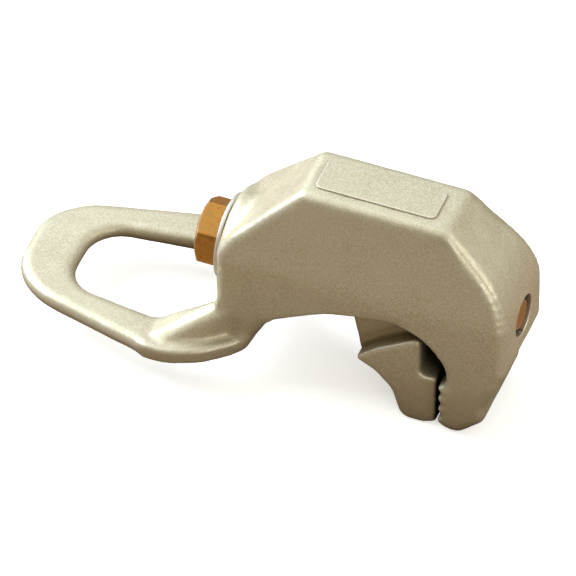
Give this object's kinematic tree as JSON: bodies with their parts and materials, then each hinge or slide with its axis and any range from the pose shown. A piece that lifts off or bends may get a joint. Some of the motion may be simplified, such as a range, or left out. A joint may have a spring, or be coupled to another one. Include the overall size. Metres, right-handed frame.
{
  "type": "beam clamp",
  "caption": "Screw-driven flange clamp with a toothed fixed jaw, a sliding moving jaw, a hex-headed screw and a pull eye cast in one with the body.",
  "frame": {"origin": "centre of the bite, on the tooth tips of the fixed jaw", "axes": "+X along the screw from the pull eye to the nose, +Y across the clamp, +Z from the jaws up to the flat top"},
  "size_m": [0.2004, 0.0776, 0.0963],
  "materials": {
    "casting": "satin champagne-silver paint over a fine cast grain",
    "screw": "yellow zinc plated steel, drawn as a brass-coloured metal",
    "washers": "bright zinc plated steel",
    "collar": "blackened steel"
  },
  "bodies": {
    "body": {"clamp_body": "casting"},
    "jaw": {"moving_jaw": "casting", "front_thrust_washer": "washers", "rear_thrust_washer": "washers"},
    "screw": {"clamp_screw": "screw", "head_washer": "washers", "retaining_collar": "collar", "collar_pin": "collar"}
  },
  "joints": [
    {"name": "jaw_slide", "type": "slide", "parent": "body", "child": "jaw", "axis": [-1, 0, 0], "range_m": [-0.0005, 0.0299]},
    {"name": "screw_spin", "type": "hinge", "parent": "jaw", "child": "screw", "pos_m": [-0.092, 0, 0.0364], "axis": [-1, 0, 0], "range_deg": [-78.5, 4662]}
  ],
  "couplings": [
    {"joint": "screw_spin", "follows": "jaw_slide", "rad_per_m": 2721.1}
  ]
}
